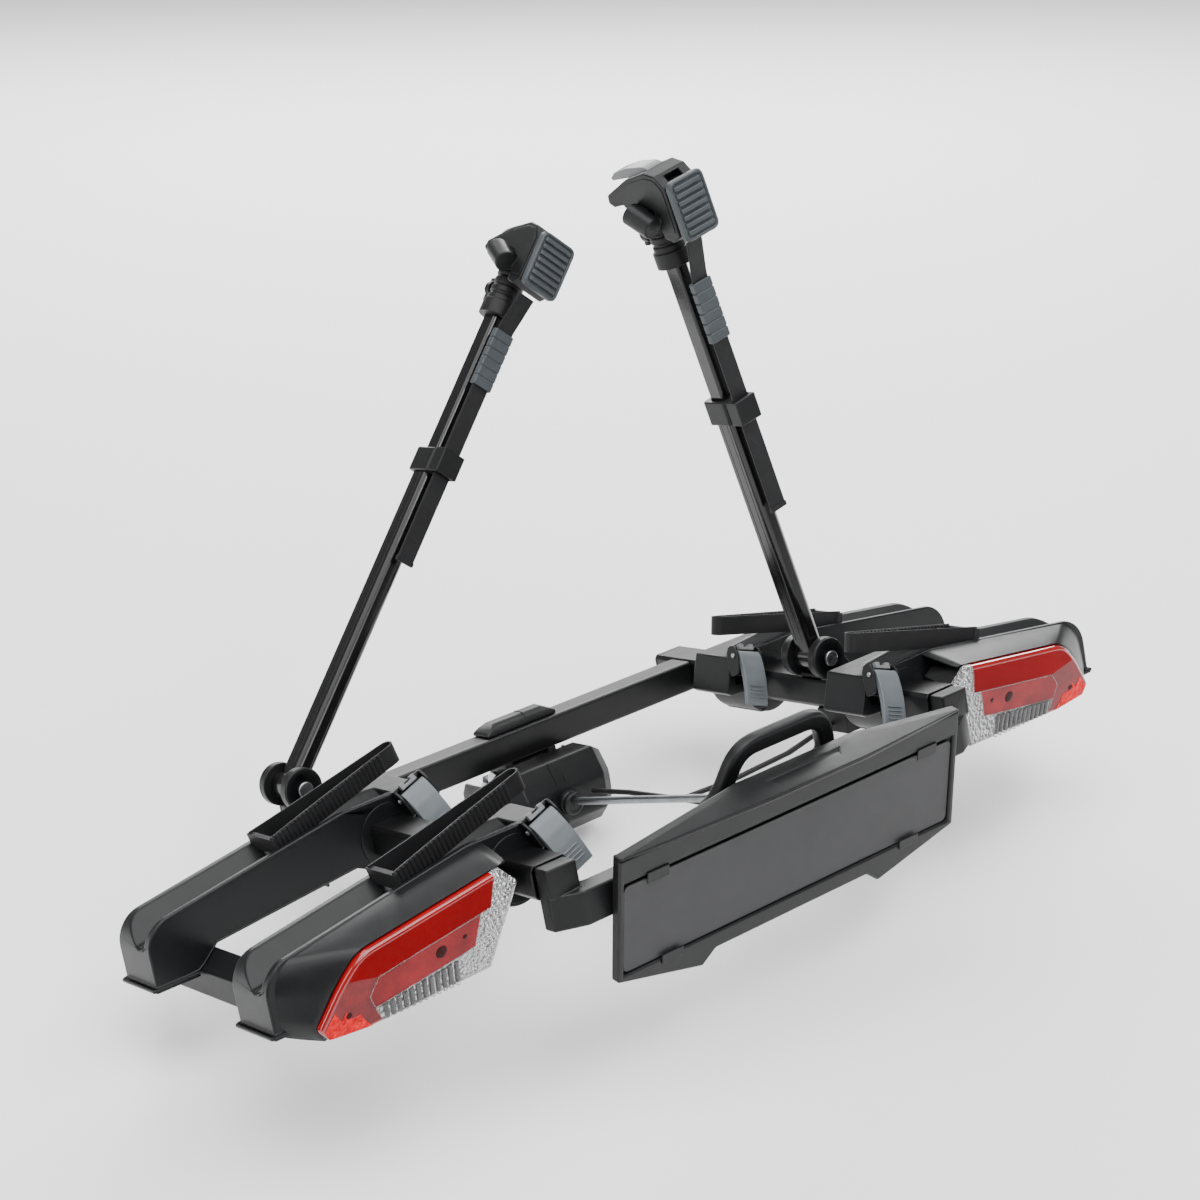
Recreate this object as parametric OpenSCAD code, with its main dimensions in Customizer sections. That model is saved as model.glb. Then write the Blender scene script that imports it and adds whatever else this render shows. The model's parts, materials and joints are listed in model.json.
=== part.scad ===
// Two-bike platform carrier for a tow ball, with folding wings, ratchet wheel straps,
// two telescopic frame arms, lamps and a number plate holder.
// Millimetres, +Z up, +Y towards the car, +X to the right seen from behind.
// The origin is the middle of the tow ball that the coupler sits on.

/* [Coupler] */
// Radius of the socket that takes a 50 mm tow ball
socket_r = 25.1; // [25.1:0.1:25.4]
// Height of the tilt hinge above the middle of the ball
hinge_rise = 62; // [60:1:66]
// Radius of the tilt hinge pin
tilt_pin_r = 8; // [6:0.5:9]

/* [Deck] */
// Angle by which the locked deck rises towards the rear
deck_pitch = 16; // [12:1:18]
// Distance between the axes of the two side tubes
tube_span = 622; // [610:2:640]
// Width of a side tube
tube_w = 50; // [48:1:52]
// Height of a side tube
tube_h = 40; // [38:1:42]
// Height and depth of the front beam
beam_size = 40; // [36:1:42]
// Wall of the beam and the tubes
wall = 2.5; // [2:0.5:4]

/* [Wings] */
// Length of a wheel tray from the fold axis to its tip
tray_reach = 336; // [320:2:340]
// Width of a wheel tray
tray_w = 72; // [66:1:74]
// Distance between the two wheel trays
bike_pitch = 255; // [250:1:260]
// Slope of the wheel trays, down towards their tips
tray_slope = 8.8; // [6:0.2:10]

/* [Arms] */
// Width of the outer arm tube
arm_w = 32; // [30:1:34]
// Thickness of the outer arm tube
arm_t = 25; // [24:1:27]
// Lean of the left arm from the deck's normal
arm_left_lean = 41.5; // [30:0.5:45]
// Lean of the right arm from the deck's normal
arm_right_lean = 12; // [0:0.5:20]
// Height of the left grip above its pivot
arm_left_reach = 663; // [640:1:680]
// Height of the right grip above its pivot
arm_right_reach = 556; // [540:1:570]

/* [Number plate] */
// Width of the number plate
plate_w = 520; // [500:5:520]
// Height of the number plate
plate_h = 112; // [108:1:114]

/* [Hidden] */

run_gap = 0.05;   // radial clearance of a running fit
gap = 0.4;        // clearance between pieces that pass each other
eps = 0.01;

// Deck coordinates start at the middle of the number plate, with Y along the side tubes
hinge_y = 500;
hinge_z = 36;
tube_x = tube_span / 2;
tube_z = 79;
tube_rear = 30;
tube_front = 551;
tube_corner_r = 29;
bush_r = 33;
beam_y = 479;
beam_top = 98;

// Trays, in wing coordinates: u outwards from the fold axis, z from the fold axis
front_tray_y = 350;
rear_tray_y = front_tray_y + tray_w / 2 - bike_pitch - tray_w / 2;
gutter_floor = -22;
inner_end = -58;
collar_r = 44;

ball_pin_y = 50;
ball_pin_z = 22;

module deck() {
    translate([0, 0, hinge_rise]) rotate([-deck_pitch, 0, 0])
        translate([0, -hinge_y, -hinge_z]) children();
}

// Upright coordinates: the same start as the deck's, but level and square to the road
module upright() deck() rotate([deck_pitch, 0, 0]) children();

// Wing coordinates: u outwards, side 1 on the right and -1 on the left
module wing(side) {
    deck() translate([side * tube_x, 0, tube_z]) mirror([side < 0 ? 1 : 0, 0, 0]) children();
}

module rounded_rect(w, h, r) {
    square([w - 2 * r, h], center = true);
    square([w, h - 2 * r], center = true);
    for (x = [-1, 1], y = [-1, 1]) {
        translate([x * (w / 2 - r), y * (h / 2 - r)]) circle(r = r, $fn = 32);
    }
}

module along_y(length) rotate([-90, 0, 0]) linear_extrude(length) children();

// A profile drawn in X and Z, pushed along Y from 0 to length
module profile_y(length) translate([0, length, 0]) rotate([90, 0, 0]) linear_extrude(length) children();

module cyl_x(r, length) rotate([0, 90, 0]) cylinder(r = r, h = length, center = true, $fn = 64);
module cyl_y(r, length) rotate([90, 0, 0]) cylinder(r = r, h = length, center = true, $fn = 64);

// A round rod between two points
module rod(a, b, r) {
    d = b - a;
    length = norm(d);
    translate(a) rotate([0, acos(d[2] / length), atan2(d[1], d[0])])
        cylinder(r = r, h = length, $fn = 24);
}

// ---------- coupler ----------

module coupler_body() color("dimgray") {
    skirt = 24;
    body_r = 37;
    difference() {
        union() {
            translate([0, 0, -skirt]) cylinder(r = body_r, h = skirt + 36, $fn = 96);
            translate([-24, -24, 30]) cube([48, 48, hinge_rise - 34]);
            translate([0, 0, hinge_rise]) cyl_x(20, 56);
            translate([-24, -20, 40]) cube([48, 40, hinge_rise - 40]);
            for (x = [-1, 1]) translate([x * 20 - 5, 20, ball_pin_z - 12]) cube([10, 40, 24]);
        }
        translate([0, 0, -skirt - 1]) cylinder(r = socket_r, h = skirt + 1, $fn = 128);
        sphere(r = socket_r, $fn = 96);
        translate([0, 0, hinge_rise]) cyl_x(tilt_pin_r, 200);
        translate([0, ball_pin_y, ball_pin_z]) cyl_x(5, 200);
        translate([-10, 20, -skirt - 1]) cube([20, 60, skirt + ball_pin_z + 16]);
    }
}

module hinge_pins() color("silver") {
    translate([0, 0, hinge_rise]) {
        cyl_x(tilt_pin_r, 92);
        for (x = [-1, 1]) translate([x * 49, 0, 0]) cyl_x(13, 6);
    }
    translate([0, ball_pin_y, ball_pin_z]) {
        cyl_x(5, 50);
        for (x = [-1, 1]) translate([x * 27, 0, 0]) cyl_x(8, 4);
    }
}

module clamp_jaw() color("silver") {
    difference() {
        union() {
            translate([0, ball_pin_y, ball_pin_z]) cyl_x(9, 19);
            translate([-9.5, 40, -22]) cube([19, 16, 44]);
            translate([-9.5, 26, -22]) cube([19, 20, 14]);
        }
        translate([0, ball_pin_y, ball_pin_z]) cyl_x(5 + run_gap, 40);
        cylinder(r = socket_r + 0.5, h = 80, center = true, $fn = 96);
    }
}

// ---------- deck ----------

module hinge_brackets() color("gray") deck() {
    for (x = [-1, 1]) {
        difference() {
            translate([x * 36 - 6, 0, 0]) {
                translate([0, hinge_y, hinge_z]) rotate([0, 90, 0]) cylinder(r = 19, h = 12, $fn = 64);
                translate([0, hinge_y - 19, hinge_z]) cube([12, 38, beam_top - beam_size - hinge_z]);
            }
            translate([x * 36, hinge_y, hinge_z]) cyl_x(tilt_pin_r + run_gap, 20);
        }
    }
}

cover_x = 82;
cover_rear = 414;
cover_front = 548;
cover_bottom = -42;
rod_front = [0, 425, 2];
rod_rear = [0, 62, 60];

module cover_side() {
    polygon([
        [cover_rear, 57], [cover_rear, 20], [cover_rear + 12, cover_bottom + 12],
        [cover_rear + 24, cover_bottom], [cover_front - 10, cover_bottom],
        [cover_front, cover_bottom + 20], [cover_front, 40], [cover_front - 12, 57]
    ]);
}

module coupling_cover() color("#2b2b2d") deck() {
    difference() {
        union() {
            translate([-cover_x, 0, 0]) rotate([90, 0, 90]) linear_extrude(2 * cover_x) cover_side();
            translate([0, cover_rear + 2, rod_front[2] + 1]) rotate([90 - 9, 0, 0])
                cylinder(r = 15, h = 16, $fn = 48);
        }
        translate([-cover_x + 4, cover_rear + 5, cover_bottom - 1])
            cube([2 * cover_x - 8, cover_front - cover_rear, 57 - cover_bottom - 4]);
        rod(rod_front + [0, 20, -3], rod_rear, 8.5);
        translate([-50, hinge_y - 26, 20]) cube([100, 52, 60]);
    }
}

module beam_cap() color("#333336") deck() {
    translate([0, beam_y + 6, beam_top + 0.1]) difference() {
        translate([-57, 0, 0]) rotate([90, 0, 90]) linear_extrude(114)
            polygon([[0, 0], [3, 9], [10, 15], [26, 15], [33, 9], [36, 0]]);
        for (x = [-1, 1]) translate([x * 57, 18, 22]) rotate([0, x * 30, 0]) cube([24, 60, 30], center = true);
    }
}

module front_beam() color("#232325") deck() {
    length = tube_span - tube_w;
    translate([-length / 2, beam_y + beam_size / 2, beam_top - beam_size / 2]) rotate([90, 0, 90])
        linear_extrude(length) difference() {
            rounded_rect(beam_size, beam_size, 4);
            rounded_rect(beam_size - 2 * wall, beam_size - 2 * wall, 2);
        }
}

module tube_section(w, h, r) {
    intersection() {
        square([w, h], center = true);
        circle(r = r, $fn = 96);
    }
}

module side_tubes() color("#232325") deck() {
    for (x = [-1, 1]) {
        translate([x * tube_x, tube_rear, tube_z]) profile_y(tube_front - tube_rear) difference() {
            tube_section(tube_w, tube_h, tube_corner_r);
            tube_section(tube_w - 2 * wall, tube_h - 2 * wall, tube_corner_r - wall);
        }
    }
}

module tube_caps() color("#1d1d1f") deck() {
    for (x = [-1, 1]) {
        translate([x * tube_x, tube_front, tube_z]) profile_y(5)
            tube_section(tube_w, tube_h, tube_corner_r);
        translate([x * tube_x, tube_front - 18, tube_z]) profile_y(18)
            tube_section(tube_w - 2 * wall - 0.2, tube_h - 2 * wall - 0.2, tube_corner_r - wall - 0.1);
    }
}

rear_beam_bottom = 24;
rear_beam_top = 64;

module rear_beam() color("#2b2b2d") deck() {
    end_x = tube_x + 21;
    difference() {
        union() {
            translate([0, 0, rear_beam_bottom]) linear_extrude(rear_beam_top - rear_beam_bottom)
                polygon([
                    [-end_x, tube_rear], [-end_x, 12], [-end_x + 34, -8], [end_x - 34, -8],
                    [end_x, 12], [end_x, tube_rear], [end_x - 46, tube_rear], [end_x - 60, 24],
                    [-end_x + 60, 24], [-end_x + 46, tube_rear]
                ]);
            for (x = [-1, 1]) {
                translate([x * tube_x - 21, 6, rear_beam_top - 1]) cube([42, tube_rear - 6, 34]);
            }
        }
        for (x = [-1, 1]) {
            translate([x * 150 - 120, 4, rear_beam_bottom - 1]) cube([240, 14, 30]);
        }
    }
}

module hex_bolt(r) {
    cylinder(r = r, h = 5, $fn = 6);
    translate([0, 0, -1.5]) cylinder(r = r * 1.35, h = 1.5, $fn = 32);
}

arm_left_at = [-338, 512, 127];
arm_right_at = [294, 236, 127];
arm_pin_r = 6;

module frame_fasteners() color("silver") deck() {
    for (at = [arm_left_at, arm_right_at]) {
        translate(at) cyl_y(arm_pin_r, 66);
        for (y = [-1, 1]) translate(at + [0, y * 35, 0]) cyl_y(10, 4);
    }
    for (x = [-1, 1], y = [beam_y + 10, beam_y + 30]) {
        translate([x * (tube_x + tube_w / 2) + x * 1.6, y, tube_z]) rotate([0, x * 90, 0]) hex_bolt(7);
    }
}

module pivot_bushes() color("#1d1d1f") deck() {
    for (x = [-1, 1], y = [rear_tray_y, front_tray_y]) {
        translate([x * tube_x, y + 2, tube_z]) profile_y(tray_w - 4) difference() {
            circle(r = bush_r, $fn = 96);
            tube_section(tube_w, tube_h, tube_corner_r);
        }
    }
}

// ---------- number plate ----------

frame_back = -2;
frame_face = -15;

module plate_frame() color("#2b2b2d") upright() {
    difference() {
        translate([0, frame_back, 0]) rotate([90, 0, 0]) linear_extrude(frame_back - frame_face)
            polygon([
                [-268, 100], [268, 100], [269, -57], [142, -88], [122, -72], [-122, -72],
                [-142, -88], [-269, -57]
            ]);
        translate([-plate_w / 2 - 0.5, frame_face - 1, -50.5]) cube([plate_w + 1, 7.5, plate_h + 7]);
        translate([-100, frame_face - 1, -30]) cube([200, 30, 70]);
    }
    for (x = [-1, 1], z = [20, 44]) translate([x * 150, frame_back, z]) rotate([-90, 0, 0])
        cylinder(r = 9, h = z < 30 ? 1 : 7, $fn = 32);
}

module number_plate() color("#4b4b4d") upright() {
    translate([0, frame_face + 4.4, plate_h / 2 - 49]) rotate([90, 0, 0]) linear_extrude(1.5)
        rounded_rect(plate_w - 1, plate_h, 8);
}

module plate_clips() color("#222224") upright() {
    for (x = [-1, 1]) {
        translate([x * 213 - 16, frame_face - 2.1, 58]) cube([32, 2, 14]);
        translate([x * 190 - 16, frame_face - 2.1, -57]) cube([32, 2, 12]);
    }
}

module plate_hood() color("#333336") upright() {
    difference() {
        hull() {
            translate([-268, frame_face, 100.2]) cube([536, 13, 3]);
            translate([-89, -14, 124]) cube([178, 11, 5]);
            translate([-70, -51, 120]) cube([140, 6, 6]);
            translate([-180, -20, 100.2]) cube([360, 18, 8]);
        }
        translate([0, -50, 128]) rotate([-4, 0, 0]) linear_extrude(4)
            polygon([[-46, 4], [46, 4], [58, 30], [-58, 30]]);
        translate([-60, -46, 99]) cube([120, 26, 14]);
    }
}

// ---------- release rod and handle ----------

pull_dir = (rod_rear - rod_front) / norm(rod_rear - rod_front);

module release_rod() color("#8a8d90") deck() {
    rod(rod_front, rod_rear, 5);
    rod(rod_front - pull_dir * 4, rod_front + pull_dir * 2, 7);
}

handle_top = [64, -23, 152];
handle_foot = [85, -1, 98];
handle_knee = [78, 40, 78];

module release_handle() color("#2b2b2d") deck() {
    r = 8;
    for (x = [-1, 1]) {
        top = [x * handle_top[0], handle_top[1], handle_top[2]];
        foot = [x * handle_foot[0], handle_foot[1], handle_foot[2]];
        knee = [x * handle_knee[0], handle_knee[1], handle_knee[2]];
        rod(top, foot, r);
        rod(foot, knee, r);
        rod(knee, [x * 12, rod_rear[1] - 5, rod_rear[2] + 1], r);
        for (p = [top, foot, knee]) translate(p) sphere(r = r + 0.6, $fn = 24);
    }
    rod([-handle_top[0], handle_top[1], handle_top[2]], handle_top, r);
    difference() {
        translate([-14, rod_rear[1] - 14, rod_rear[2] - 9]) cube([28, 16, 20]);
        rod(rod_rear, rod_rear + pull_dir * -40, 5);
    }
}

// ---------- wiring ----------

wire_route = [
    [-210, 36, 40], [-120, 38, 34], [-30, 40, 30], [30, 46, 26], [40, 120, 22], [46, 240, 16],
    [42, 340, 12], [34, 404, 8]
];
wire_tail = [[46, 240, 16], [120, 225, 18], [210, 214, 26], [290, 210, 42]];

module wire_run(points, r) {
    for (i = [0 : len(points) - 2]) {
        hull() {
            translate(points[i]) sphere(r = r, $fn = 10);
            translate(points[i + 1]) sphere(r = r, $fn = 10);
        }
    }
}

module wiring_harness() color("#18181a") deck() {
    wire_run(wire_route, 3.5);
    wire_run(wire_tail, 3.5);
    translate([tube_x - 24, 184, tube_z - tube_h / 2 - 30]) cube([46, 52, 29.9]);
}

// ---------- arm brackets ----------

module arm_bracket(at, tube_side) {
    plate = 12;
    inner = 19;
    toward = tube_side * tube_x - at[0];
    for (y = [-1, 1]) {
        translate([at[0], at[1] + y * (inner + plate / 2) + plate / 2, at[2]]) rotate([90, 0, 0])
            difference() {
                linear_extrude(plate) union() {
                    circle(r = 27, $fn = 64);
                    polygon([
                        [-25, 0], [25, 0], [toward + 24, tube_z + tube_h / 2 - at[2] + 0.2],
                        [toward - 24, tube_z + tube_h / 2 - at[2] + 0.2]
                    ]);
                }
                translate([0, 0, -1]) cylinder(r = arm_pin_r, h = plate + 2, $fn = 48);
            }
    }
    translate([tube_side * tube_x - 24, at[1] - inner - plate, tube_z + tube_h / 2 + 0.1])
        cube([48, 2 * (inner + plate), 6]);
}

module arm_brackets() color("#1f1f21") deck() {
    arm_bracket(arm_left_at, -1);
    arm_bracket(arm_right_at, 1);
}

// ---------- wheel trays ----------

slope = tan(tray_slope);
function rim_z(u) = u < 60 ? 47 : 47 - (u - 60) * slope;
function floor_z(u) = gutter_floor + (tray_reach - u) * slope;

tip_r = 38;
tip_z = rim_z(tray_reach - tip_r) - tip_r;

module tray_profile() {
    polygon(concat([
        [inner_end, 47], [inner_end - 17, 2], [inner_end - 10, -3], [-30, -6], [-20, -40], [30, -34],
        [52, -24], [tray_reach - 85, -42], [tray_reach - 64, -60], [tray_reach - 56, -65],
        [tray_reach, -70]
    ], [for (a = [0 : 10 : 80]) [tray_reach - tip_r + tip_r * cos(a), tip_z + tip_r * sin(a)]], [[60, 47]]));
    circle(r = collar_r, $fn = 96);
}

// The channel that a wheel stands in, as seen from the tip
module gutter_section() {
    polygon([[8, 0], [14, -26], [30, -26], [tray_w - 8, 0], [tray_w - 8, 40], [8, 40]]);
    translate([22, -18]) circle(r = 10, $fn = 48);
}

module tray_core() {
    difference() {
        union() {
            profile_y(tray_w) tray_profile();
            translate([tray_reach - 56, -2, -70]) cube([62, tray_w + 4, 5]);
        }
        // wheel channel, following the slope
        translate([tray_reach + 20, 0, floor_z(tray_reach + 20) + 28]) rotate([0, tray_slope, 0])
            rotate([90, 0, -90]) mirror([1, 0, 0]) linear_extrude(tray_reach + 40) gutter_section();
        // hollow underside
        translate([0, 5, 0]) profile_y(tray_w - 10)
            polygon([
                [56, -60], [56, floor_z(56) - 7], [tray_reach - 6, floor_z(tray_reach - 6) - 7],
                [tray_reach - 6, -80], [tray_reach - 90, -80]
            ]);
        // ribbed pockets beside the fold collar
        for (i = [0 : 2]) {
            translate([inner_end + 2 + i * 17, -1, 10]) cube([13, 30, 24]);
        }
        translate([0, tray_w / 2, 0]) cyl_y(bush_r + run_gap, tray_w + 2);
    }
    for (u = [90 : 48 : tray_reach - 70]) {
        translate([u, 4, -34 - (u > 200 ? 4 : 0)]) cube([3, tray_w - 8, floor_z(u) + 28]);
    }
}

module tray_front(side) color("#2d2e30") wing(side) translate([0, front_tray_y, 0]) tray_core();

lamp_edge_y = 48;

module shell_cover() {
    // the wide top that carries the lamp below it
    near = lamp_edge_y - rear_tray_y;
    hull() {
        translate([34, -4, rim_z(34) - 10]) cube([1, 4, 8]);
        translate([tray_reach - 90, -4, rim_z(tray_reach - 90) - 14]) cube([1, 4, 8]);
        translate([50, near, 30]) cube([1, 1, 4]);
        translate([tray_reach - 90, near + 2, 1]) cube([1, 1, 4]);
    }
    hull() {
        translate([tray_reach - 90, -4, rim_z(tray_reach - 90) - 14]) cube([1, 4, 8]);
        translate([tray_reach - 90, near + 2, 1]) cube([1, 1, 4]);
        translate([tray_reach - 34, -4, -2]) cube([1, 4, 6]);
        translate([tray_reach - 72, near + 10, -16]) cube([2, 1, 4]);
    }
    hull() {
        translate([tray_reach - 34, -4, -2]) cube([1, 4, 6]);
        translate([tray_reach - 72, near + 10, -16]) cube([2, 1, 4]);
        translate([tray_reach - 5, -4, -34]) cube([4, 4, 4]);
        translate([tray_reach - 58, near + 18, -34]) cube([2, 1, 4]);
    }
    hull() {
        translate([tray_reach - 5, -4, -34]) cube([4, 4, 4]);
        translate([tray_reach - 58, near + 18, -34]) cube([2, 1, 4]);
        translate([tray_reach - 4, -4, -70]) cube([4, 4, 4]);
        translate([tray_reach - 36, near + 30, -70]) cube([2, 1, 4]);
    }
}

module tray_rear(side) color("#2d2e30") difference() {
    wing(side) translate([0, rear_tray_y, 0]) {
        tray_core();
        shell_cover();
    }
    lamp_place(side) translate([0, lamp_face + lens_depth + 0.3, 0]) rotate([90, 0, 0])
        linear_extrude(lens_depth + 20) scale(1.004) lamp_outline();
}

module tip_bar(side) color("#2a2a2c") wing(side) {
    from = rear_tray_y + 10;
    heel = tray_reach - 57.2;
    translate([0, from, 0]) profile_y(front_tray_y + tray_w - 10 - from) polygon([
        [heel - 25, -94], [heel - 20, -99], [heel - 4, -99], [heel, -95], [heel, -64.8],
        [heel - 7, -60.7], [heel - 25, -45.2]
    ]);
}

// ---------- lamps ----------

lamp_face = 64;
lens_depth = 9;

function lamp_points() = [
    [345, 70], [368, 93], [556, 63], [582, 34], [611, -11], [598, -26], [553, -31], [384, -26]
];

module lamp_outline() polygon(lamp_points());
module lamp_red_zone() {
    polygon([
        [345, 70], [368, 93], [556, 63], [582, 34], [611, -11], [598, -26], [553, -31],
        [530, -30], [546, 10], [536, 30], [352, 58]
    ]);
}

module lamp_place(side) upright() mirror([side < 0 ? 1 : 0, 0, 0]) children();

module lamp_housing(side) color("#232325") {
    difference() {
        lamp_place(side) difference() {
            translate([0, lamp_face + lens_depth + 40, 0]) rotate([90, 0, 0]) linear_extrude(40 - 0.1) lamp_outline();
            translate([0, lamp_face + lens_depth + 26, 0]) rotate([90, 0, 0]) linear_extrude(40)
                offset(delta = -4) lamp_outline();
        }
        wing(side) translate([-80, rear_tray_y - 5.4, -200]) cube([500, 200, 400]);
        wing(side) translate([0, -20, 0]) profile_y(200)
            polygon([[0, 200], [0, 33], [48, 29.6], [tray_reach - 90, 0.3], [tray_reach - 30, -30],
                     [tray_reach + 10, -60], [tray_reach + 10, 200]]);
        wing(side) translate([0, rear_tray_y, 0]) shell_cover();
    }
}

module lamp_red(side) color("#b3121f") lamp_place(side)
    translate([0, lamp_face + lens_depth, 0]) rotate([90, 0, 0]) linear_extrude(lens_depth) lamp_red_zone();

module lamp_clear(side) color("#d8dadd") lamp_place(side)
    translate([0, lamp_face + lens_depth, 0]) rotate([90, 0, 0]) linear_extrude(lens_depth) difference() {
        lamp_outline();
        offset(delta = 0.1) lamp_red_zone();
    }

// ---------- wheel straps and ratchets ----------

strap_w = 25;
strap_t = 3;
strap_u = 150;
strap_lean = 76;
strap_h = 198;

module strap_loop() {
    // an inverted, narrow U of toothed band
    half = tray_w / 2 - 10;
    difference() {
        hull() {
            translate([-half, 0]) square([2 * half, 1]);
            translate([0, strap_h]) circle(r = 9, $fn = 32);
        }
        hull() {
            translate([-half + strap_t, -1]) square([2 * (half - strap_t), 1]);
            translate([0, strap_h]) circle(r = 9 - strap_t, $fn = 32);
        }
    }
}

module wheel_straps(side) color("#202022") wing(side) {
    for (y = [rear_tray_y, front_tray_y]) {
        translate([strap_u, y + tray_w / 2 - 2, floor_z(strap_u) + 29]) rotate([0, -strap_lean, 0])
            rotate([90, 0, 90]) linear_extrude(strap_w, center = true) strap_loop();
    }
}

buckle_u = -40;
buckle_z = 44;
lever_length = 76;
lever_w = 37;

module buckle_place(y) {
    translate([buckle_u, y - 9, buckle_z]) rotate([0, 20, 0]) rotate([-24, 0, 0]) children();
}

module buckle_frames(side) color("#1e1e20") wing(side) {
    for (y = [rear_tray_y, front_tray_y]) {
        difference() {
            buckle_place(y) {
                for (x = [-1, 1]) translate([x * (lever_w / 2 + 2.4) - 1.5, -4, -24]) cube([3, 16, 34]);
                translate([-lever_w / 2 - 3, 8, -24]) cube([lever_w + 6, 3, 34]);
            }
            translate([inner_end - 60, y - 0.1, -100]) cube([200, 60, 300]);
            buckle_place(y) cyl_x(3, 80);
        }
        buckle_place(y) cyl_x(3, lever_w + 8);
    }
}

module ratchet(side, y) color("#6e757a") wing(side) buckle_place(y) {
    difference() {
        union() {
            cyl_x(7, lever_w);
            translate([-lever_w / 2, -7, -lever_length + 8]) cube([lever_w, 8, lever_length - 8]);
            translate([-lever_w / 2, -3, -lever_length + 8]) cyl_seg();
        }
        cyl_x(3 + run_gap, 60);
    }
}

module cyl_seg() translate([lever_w / 2, 0, 0]) cyl_x(4, lever_w);

// ---------- arms ----------

module arm_frame(at, lean) deck() translate(at) rotate([0, lean, 0]) children();
module left_arm() arm_frame(arm_left_at, arm_left_lean) children();
module right_arm() arm_frame(arm_right_at, -arm_right_lean) children();

left_keeper = arm_left_reach - 204;
right_keeper = arm_right_reach - 189;

module oval(w, t) {
    // w along Y, t along X
    intersection() {
        square([t, w], center = true);
        circle(r = w / 2 + 0.6, $fn = 96);
    }
}

module arm_tube(top) color("#1c1c1e") {
    difference() {
        union() {
            cyl_y(17, 37);
            translate([0, 0, 8]) linear_extrude(top - 8) oval(arm_w, arm_t);
        }
        cyl_y(arm_pin_r + run_gap, 60);
        translate([0, 0, 24]) linear_extrude(top) oval(arm_w - 5, arm_t - 5);
    }
}

module arm_inner(bottom, top) color("#262628") {
    translate([0, 0, bottom]) linear_extrude(top - bottom) difference() {
        oval(arm_w - 5.8, arm_t - 5.8);
        oval(arm_w - 10, arm_t - 10);
    }
}

strap_off = -34;

module strap_keeper(top) color("#2a2a2c") {
    translate([0, 0, top - 30]) difference() {
        union() {
            translate([0, 0, 0]) linear_extrude(32) rounded_rect(arm_t + 9, arm_w + 10, 6);
            translate([-arm_t / 2 - 4.5, strap_off - 9, 0]) cube([arm_t + 9, 20, 32]);
        }
        translate([0, 0, -1]) linear_extrude(31.2) oval(arm_w + 0.2, arm_t + 0.2);
        translate([0, 0, 20]) linear_extrude(20) oval(arm_w - 4.8, arm_t - 4.8);
        translate([-13.5, strap_off - 4, -1]) cube([27, 8, 40]);
    }
}

module arm_grip() color("#232325") {
    difference() {
        union() {
            cylinder(r = 20, h = 72, $fn = 64);
            translate([0, 0, -8]) cylinder(r = 22.5, h = 20, $fn = 64);
        }
        for (z = [22 : 12 : 58]) translate([0, 0, z]) rotate_extrude($fn = 64)
            translate([20.5, 0]) circle(r = 2.5, $fn = 24);
        translate([0, 0, -9]) linear_extrude(60) oval(arm_w - 5.8, arm_t - 5.8);
        translate([0, 24, 34]) cyl_y(5, 20);
    }
    translate([0, 0, 72]) cylinder(r = 12, h = 22, $fn = 48);
}

module arm_knob() color("#1c1c1e") translate([0, 0, 34]) {
    translate([0, 21, 0]) cyl_y(5 - run_gap, 12);
    translate([0, 31, 0]) cyl_y(11, 9);
    translate([-3, 33, -16]) cube([6, 8, 32]);
}

lock_r = 9;

module head_lock_place() translate([-37, -30, 52]) rotate([-57, 0, 0]) children();

module head_shell() color("#2a2a2c") {
    difference() {
        union() {
            translate([-26, 0, 0]) rotate([90, 0, 90]) linear_extrude(52)
                polygon([
                    [-58, 34], [-60, 96], [-48, 112], [-30, 118], [6, 112], [50, 94], [52, 84],
                    [44, 78], [26, 80], [21, 72.4], [-21, 72.4], [-30, 66], [-30, 34], [-44, 28]
                ]);
            head_lock_place() cylinder(r = 14, h = 40, $fn = 48);
        }
        translate([0, 0, 70]) cylinder(r = 12 + run_gap, h = 24.5, $fn = 48);
        translate([-12, -70, 100]) cube([24, 34, 8]);
        translate([0, -20, 114]) rotate([-12, 0, 0]) translate([-13.6, -9, -6]) cube([27.2, 100, 40]);
        translate([-30, -70, 20]) cube([60, 6, 90]);
        head_lock_place() translate([0, 0, 14]) cylinder(r = lock_r + run_gap, h = 40, $fn = 48);
    }
}

module head_pad() color("#4e565c") {
    difference() {
        translate([-28, -74, 27]) cube([56, 9.9, 76]);
        for (z = [36 : 10 : 96]) translate([-22, -75, z]) cube([44, 5, 4.5]);
    }
}

module head_lever() color("#a6a8aa") {
    translate([0, -20, 114]) {
        cyl_x(4.6, 26);
        rotate([-12, 0, 0]) translate([-13, 0, -1.5]) cube([26, 64, 4]);
    }
}

module head_lock() color("silver") {
    head_lock_place() translate([0, 0, 14.2]) cylinder(r = lock_r, h = 27, $fn = 48);
}

module build_strap(reach, keeper) color("#242426") {
    tail = keeper - 150;
    translate([-12.5, strap_off - 1.5, tail]) cube([25, 3, reach - 40 - tail]);
    translate([-15, strap_off - 5, reach - 110]) cube([30, 10, 80]);
    translate([0, 0, reach - 30]) rotate([90, 0, 90]) linear_extrude(25, center = true)
        polygon([
            [strap_off - 1.5, 0], [strap_off + 1.5, 0], [-49, 55.5], [-52, 55.5]
        ]);
}

// ---------- assembly ----------

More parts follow.
